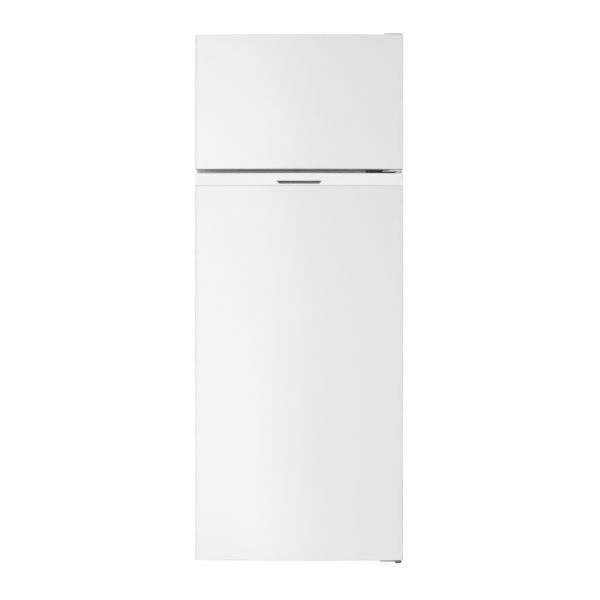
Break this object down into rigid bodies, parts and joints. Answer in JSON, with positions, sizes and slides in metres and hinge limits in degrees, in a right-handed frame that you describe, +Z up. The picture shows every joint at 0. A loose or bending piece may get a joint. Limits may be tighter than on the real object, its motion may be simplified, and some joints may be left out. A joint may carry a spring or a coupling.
{
  "type": "top freezer refrigerator",
  "caption": "White top-mount refrigerator with right-hinged bowed doors, a slotted grip strip over the lower door, door bins, glass shelves, a crisper and a rear machine room.",
  "frame": {"origin": "centre of the footprint on the floor, under the middle of the whole object's box", "axes": "+Z up, the doors face -Y, +X to the right as seen from the front"},
  "size_m": [0.55, 0.555, 1.415],
  "materials": {
    "white_enamel": "satin",
    "galvanised": "satin",
    "zinc_steel": "satin",
    "white_plastic": "satin",
    "liner_plastic": "satin",
    "grip_grey": "matte",
    "foam": "matte",
    "gasket_vinyl": "matte",
    "clear_plastic": "gloss",
    "glass": "gloss",
    "lens": "satin",
    "bulb_glass": "gloss",
    "coated_wire": "satin",
    "aluminium": "satin",
    "copper": "satin",
    "black_enamel": "satin",
    "black_plastic": "matte",
    "foot_plastic": "matte"
  },
  "bodies": {
    "cabinet": {"left_side_panel": "white_enamel", "right_side_panel": "white_enamel", "top_panel": "white_enamel", "back_panel": "galvanised", "base_pan": "zinc_steel", "mullion_rail": "white_enamel", "fridge_liner": "liner_plastic", "freezer_liner": "liner_plastic", "freezer_foam": "foam", "fridge_foam": "foam", "freezer_evaporator": "aluminium", "fridge_evaporator": "aluminium", "compressor": "black_enamel", "starter_box": "black_plastic", "evaporation_tray": "white_plastic", "filter_dryer": "copper", "suction_pipe": "copper", "condenser_tube": "copper", "compressor_rail": "zinc_steel", "cord_gland": "black_plastic", "top_hinge": "zinc_steel", "top_hinge_cover": "white_plastic", "middle_hinge": "zinc_steel", "lower_hinge": "zinc_steel", "control_housing": "white_plastic", "lamp_lens": "lens", "lamp_bulb": "bulb_glass", "thermostat": "zinc_steel", "glass_shelf_1": "glass", "glass_shelf_2": "glass", "shelf_trim_1": "white_plastic", "shelf_trim_2": "white_plastic", "crisper_cover": "glass", "crisper_cover_trim": "white_plastic", "freezer_shelf": "coated_wire"},
    "freezer_door": {"freezer_door_skin": "white_enamel", "freezer_door_top_cap": "white_plastic", "freezer_door_bottom_cap": "white_plastic", "freezer_door_foam": "foam", "freezer_door_liner": "liner_plastic", "freezer_door_gasket": "gasket_vinyl", "freezer_door_bin": "clear_plastic"},
    "fridge_door": {"fridge_door_skin": "white_enamel", "fridge_door_bottom_cap": "white_plastic", "fridge_door_foam": "foam", "fridge_door_liner": "liner_plastic", "fridge_door_gasket": "gasket_vinyl", "grip_cap": "white_plastic", "grip_insert": "grip_grey", "bottle_bin": "clear_plastic", "door_bin_1": "clear_plastic", "door_bin_2": "clear_plastic"},
    "crisper": {"crisper_drawer": "clear_plastic"},
    "knob": {"temperature_knob": "white_plastic"},
    "plunger": {"switch_plunger": "white_plastic"},
    "foot_left": {"left_foot": "foot_plastic"},
    "foot_right": {"right_foot": "foot_plastic"},
    "roller_left": {"left_roller": "foot_plastic"},
    "roller_right": {"right_roller": "foot_plastic"}
  },
  "joints": [
    {"name": "freezer_door_hinge", "type": "hinge", "parent": "cabinet", "child": "freezer_door", "pos_m": [0.262, -0.24, 1.0545], "axis": [0, 0, 1], "range_deg": [0, 130]},
    {"name": "fridge_door_hinge", "type": "hinge", "parent": "cabinet", "child": "fridge_door", "pos_m": [0.262, -0.24, 0.022], "axis": [0, 0, 1], "range_deg": [0, 130]},
    {"name": "crisper_slide", "type": "slide", "parent": "cabinet", "child": "crisper", "axis": [0, -1, 0], "range_m": [0, 0.08]},
    {"name": "temperature_knob_turn", "type": "hinge", "parent": "cabinet", "child": "knob", "pos_m": [0.085, -0.165, 0.995], "axis": [0, -1, 0], "range_deg": [-135, 135]},
    {"name": "door_switch_slide", "type": "slide", "parent": "cabinet", "child": "plunger", "axis": [0, -1, 0], "range_m": [0, 0.008]},
    {"name": "left_foot_turn", "type": "hinge", "parent": "cabinet", "child": "foot_left", "pos_m": [-0.232, -0.15, 0], "axis": [0, 0, 1], "continuous": true},
    {"name": "right_foot_turn", "type": "hinge", "parent": "cabinet", "child": "foot_right", "pos_m": [0.232, -0.15, 0], "axis": [0, 0, 1], "continuous": true},
    {"name": "left_roller_turn", "type": "hinge", "parent": "cabinet", "child": "roller_left", "pos_m": [-0.238, 0.215, 0.014], "axis": [1, 0, 0], "continuous": true},
    {"name": "right_roller_turn", "type": "hinge", "parent": "cabinet", "child": "roller_right", "pos_m": [0.238, 0.215, 0.014], "axis": [1, 0, 0], "continuous": true}
  ],
  "couplings": [
    {"joint": "door_switch_slide", "follows": "fridge_door_hinge", "m_per_rad": 0.0035}
  ]
}
